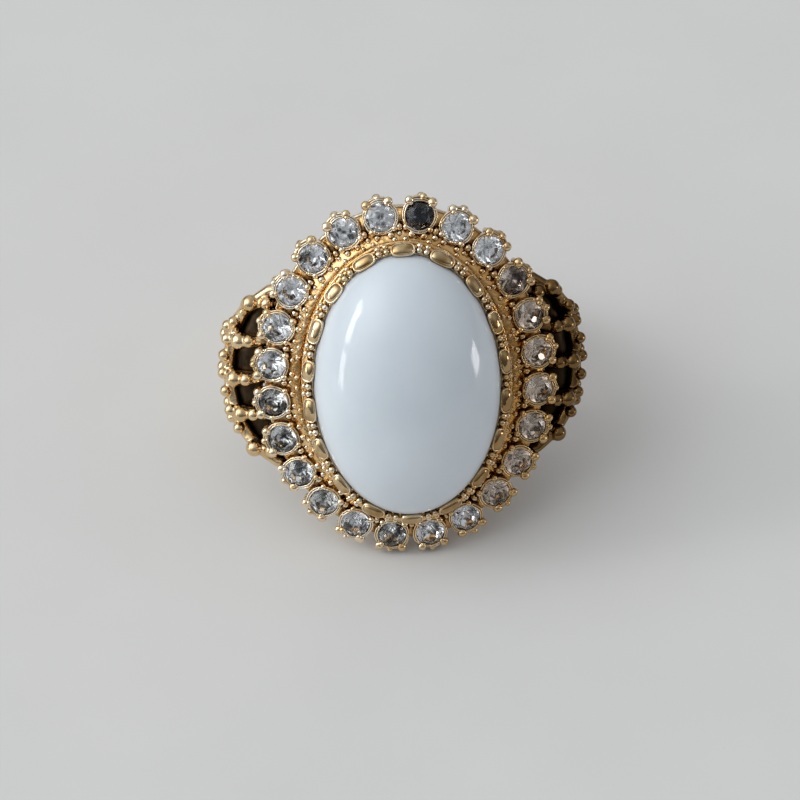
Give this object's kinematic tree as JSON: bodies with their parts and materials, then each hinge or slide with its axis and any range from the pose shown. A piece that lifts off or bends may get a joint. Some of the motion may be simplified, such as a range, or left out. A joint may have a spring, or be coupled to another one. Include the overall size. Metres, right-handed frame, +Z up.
{
  "type": "cocktail ring",
  "caption": "Oversized gold-plated finger ring: an oval milky cabochon in a crown bezel, a halo of clear round stones in beaded collets, openwork shoulders and a tapered band",
  "frame": {"origin": "on the table, under the middle of the ring's bounding box; the ring leans back as it rests, on the two lowest foot beads of the halo and the back edge of the band", "axes": "+Z up, +X to the viewer's right across the face of the ring, +Y away from the viewer; the face looks towards -Y and up, and the finger axis runs up and back in the YZ plane"},
  "size_m": [0.026, 0.0282, 0.0233],
  "materials": {
    "gold_plate": "polished yellow gold plate with darkened recesses",
    "milk_glass": "opaque cool white milk glass, glossy",
    "rhinestone": "clear faceted glass with a silvered back",
    "cement": "cured jewellery cement"
  },
  "bodies": {
    "root": {"shank": "gold_plate", "shoulder_left": "gold_plate", "shoulder_right": "gold_plate", "under_gallery": "gold_plate", "halo_frame": "gold_plate", "bezel_cup": "gold_plate", "crown_bezel": "gold_plate", "cement_bed": "cement", "cabochon": "milk_glass", "rhinestone_01": "rhinestone", "rhinestone_02": "rhinestone", "rhinestone_03": "rhinestone", "rhinestone_04": "rhinestone", "rhinestone_05": "rhinestone", "rhinestone_06": "rhinestone", "rhinestone_07": "rhinestone", "rhinestone_08": "rhinestone", "rhinestone_09": "rhinestone", "rhinestone_10": "rhinestone", "rhinestone_11": "rhinestone", "rhinestone_12": "rhinestone", "rhinestone_13": "rhinestone", "rhinestone_14": "rhinestone", "rhinestone_15": "rhinestone", "rhinestone_16": "rhinestone", "rhinestone_17": "rhinestone", "rhinestone_18": "rhinestone", "rhinestone_19": "rhinestone", "rhinestone_20": "rhinestone", "rhinestone_21": "rhinestone", "rhinestone_22": "rhinestone", "rhinestone_23": "rhinestone", "rhinestone_24": "rhinestone"}
  },
  "joints": []
}
